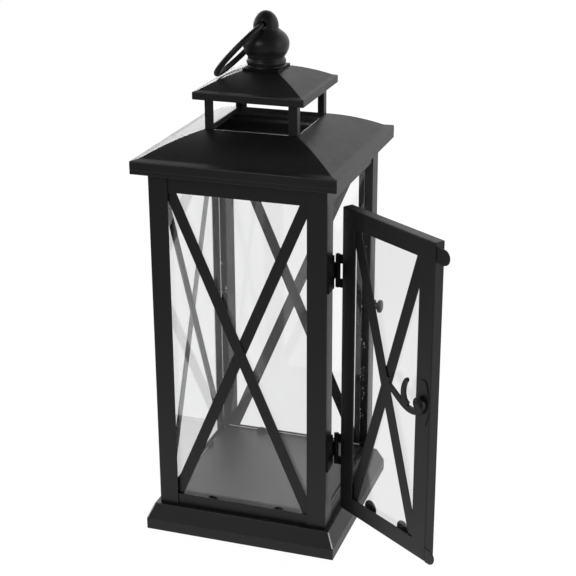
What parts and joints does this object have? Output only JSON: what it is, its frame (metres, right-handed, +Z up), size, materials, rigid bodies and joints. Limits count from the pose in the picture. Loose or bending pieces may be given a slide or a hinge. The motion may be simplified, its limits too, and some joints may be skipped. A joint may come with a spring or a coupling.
{
  "type": "hurricane candle lantern",
  "caption": "Square black sheet-steel candle lantern with glazed, cross-barred sides, a hinged glazed door with a hook latch, a two-tier vented roof and a finial with a carry ring.",
  "frame": {"origin": "centre of the plinth's underside, on the plane that the lantern stands on", "axes": "+Z up, -Y out of the front pane, +X out of the door opening"},
  "size_m": [0.2509, 0.1976, 0.412],
  "materials": {
    "black_sheet": "satin black powder coat",
    "black_castings": "satin black paint on cast and forged pieces",
    "clip_steel": "satin black",
    "floor_steel": "dark grey satin",
    "hinge_pin": "plain steel",
    "zinc_fastener": "zinc plated",
    "glass": "clear float glass"
  },
  "bodies": {
    "lantern": {"plinth": "black_sheet", "floor_plate": "floor_steel", "post_front_left": "black_sheet", "post_front_right": "black_sheet", "post_back_left": "black_sheet", "post_back_right": "black_sheet", "top_rail_front": "black_sheet", "top_rail_back": "black_sheet", "top_rail_left": "black_sheet", "top_rail_right": "black_sheet", "bottom_rail_front": "black_sheet", "bottom_rail_back": "black_sheet", "bottom_rail_left": "black_sheet", "bottom_rail_right": "black_sheet", "bar_front_a": "black_sheet", "bar_front_b": "black_sheet", "bar_back_a": "black_sheet", "bar_back_b": "black_sheet", "bar_left_a": "black_sheet", "bar_left_b": "black_sheet", "glass_front": "glass", "glass_back": "glass", "glass_left": "glass", "clips_front": "clip_steel", "clips_back": "clip_steel", "clips_left": "clip_steel", "roof": "black_sheet", "leg_front_left": "black_sheet", "leg_front_right": "black_sheet", "leg_back_left": "black_sheet", "leg_back_right": "black_sheet", "upper_roof": "black_sheet", "finial_plate": "black_sheet", "finial": "black_castings", "finial_washer": "zinc_fastener", "finial_nut": "zinc_fastener", "hinge_upper_post_leaf": "black_sheet", "hinge_lower_post_leaf": "black_sheet", "hinge_upper_pin": "hinge_pin", "hinge_lower_pin": "hinge_pin", "keeper_stud": "black_castings"},
    "door": {"door_hinge_stile": "black_sheet", "door_free_stile": "black_sheet", "door_top_rail": "black_sheet", "door_bottom_rail": "black_sheet", "door_bar_a": "black_sheet", "door_bar_b": "black_sheet", "door_glass": "glass", "door_clips": "clip_steel", "door_stop_lug": "black_sheet", "door_tongue": "black_sheet", "hinge_upper_door_leaf": "black_sheet", "hinge_lower_door_leaf": "black_sheet", "latch_plate": "black_sheet", "latch_rivet": "black_castings"},
    "latch": {"latch_lever": "black_castings"},
    "ring": {"carry_ring": "black_castings"}
  },
  "joints": [
    {"name": "door_hinge", "type": "hinge", "parent": "lantern", "child": "door", "pos_m": [0.073, -0.0514, 0.15825], "axis": [0, 0, 1], "range_deg": [-55, 125]},
    {"name": "latch_pivot", "type": "hinge", "parent": "door", "child": "latch", "pos_m": [0.15165, -0.10854, 0.16045], "axis": [0.5736, 0.8192, 0], "range_deg": [-90, 160]},
    {"name": "ring_swing", "type": "hinge", "parent": "lantern", "child": "ring", "pos_m": [0, 0, 0.4024], "axis": [0, 1, 0], "range_deg": [0, 273]}
  ]
}
